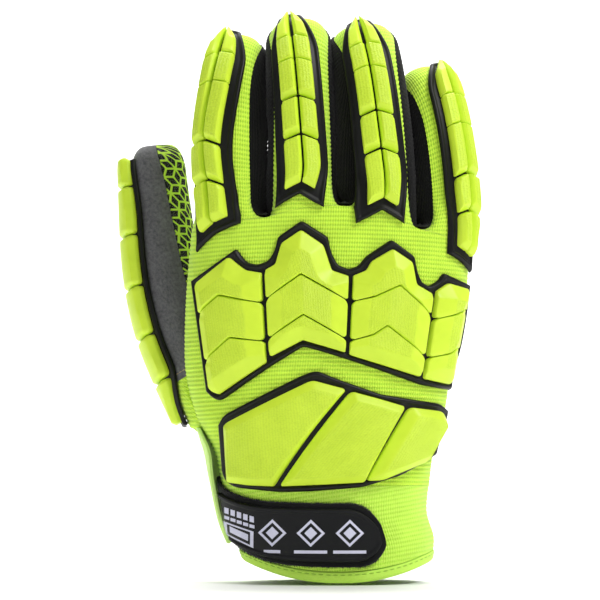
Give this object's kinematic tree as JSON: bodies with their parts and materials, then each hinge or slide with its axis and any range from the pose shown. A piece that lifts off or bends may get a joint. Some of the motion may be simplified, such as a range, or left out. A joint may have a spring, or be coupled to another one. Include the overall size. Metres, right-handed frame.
{
  "type": "impact glove",
  "caption": "Right-hand work glove in the form of a hand, with a ribbed knitted back and raised rubber guards over the knuckles, fingers and thumb.",
  "frame": {"origin": "point in the wrist opening below the middle of the hand, level with the lowest point of the hem", "axes": "+Z along the fingers, +X from the thumb's side to the little finger, the back of the hand faces -Y and the palm +Y"},
  "size_m": [0.1686, 0.0809, 0.2648],
  "materials": {
    "rib_knit": "ribbed high-visibility knit, matte",
    "coated_palm": "coated palm cloth with a printed lattice, matte",
    "side_knit": "black ribbed knit, matte",
    "suede": "grey suede, matte",
    "cuff_knit": "ribbed high-visibility knit, matte",
    "flap_cloth": "thin pale high-visibility cloth, matte",
    "strap_loop": "black loop-pile strap",
    "tab_rubber": "moulded black rubber, satin",
    "guard_base": "thin moulded black rubber, satin",
    "guard_block": "moulded yellow-green rubber with a fine grain, satin"
  },
  "bodies": {
    "root": {"back_shell": "rib_knit", "palm_shell": "coated_palm", "fourchette_index_middle": "side_knit", "fourchette_middle_ring": "side_knit", "fourchette_ring_little": "side_knit", "thumb_side_panel": "suede", "thumb_pad": "coated_palm", "cuff": "cuff_knit", "cuff_hem": "cuff_knit", "side_flap": "flap_cloth", "wrist_strap": "strap_loop", "strap_tab": "tab_rubber", "knuckle_guard_base": "guard_base", "hand_guard_base": "guard_base", "thumb_guard_base": "guard_base", "index_guard_base": "guard_base", "index_back": "rib_knit", "index_palm": "coated_palm", "index_guard_block_1": "guard_block", "index_guard_block_2": "guard_block", "index_guard_block_tip": "guard_block", "middle_guard_base": "guard_base", "middle_back": "rib_knit", "middle_palm": "coated_palm", "middle_guard_block_1": "guard_block", "middle_guard_block_2": "guard_block", "middle_guard_block_tip": "guard_block", "ring_guard_base": "guard_base", "ring_back": "rib_knit", "ring_palm": "coated_palm", "ring_guard_block_1": "guard_block", "ring_guard_block_2": "guard_block", "ring_guard_block_tip": "guard_block", "little_guard_base": "guard_base", "little_back": "rib_knit", "little_palm": "coated_palm", "little_guard_block_1": "guard_block", "little_guard_block_2": "guard_block", "little_guard_block_tip": "guard_block", "thumb_block_1": "guard_block", "thumb_block_2": "guard_block", "thumb_block_3": "guard_block", "thumb_block_4": "guard_block", "thumb_block_5": "guard_block", "thumb_block_6": "guard_block", "knuckle_block_1_1": "guard_block", "knuckle_block_1_2": "guard_block", "knuckle_block_1_3": "guard_block", "knuckle_block_2_1": "guard_block", "knuckle_block_2_2": "guard_block", "knuckle_block_2_3": "guard_block", "knuckle_block_3_1": "guard_block", "knuckle_block_3_2": "guard_block", "knuckle_block_3_3": "guard_block", "knuckle_block_4_1": "guard_block", "knuckle_block_4_2": "guard_block", "knuckle_block_4_3": "guard_block", "hand_block_1": "guard_block", "hand_block_2": "guard_block", "hand_block_3": "guard_block"}
  },
  "joints": []
}
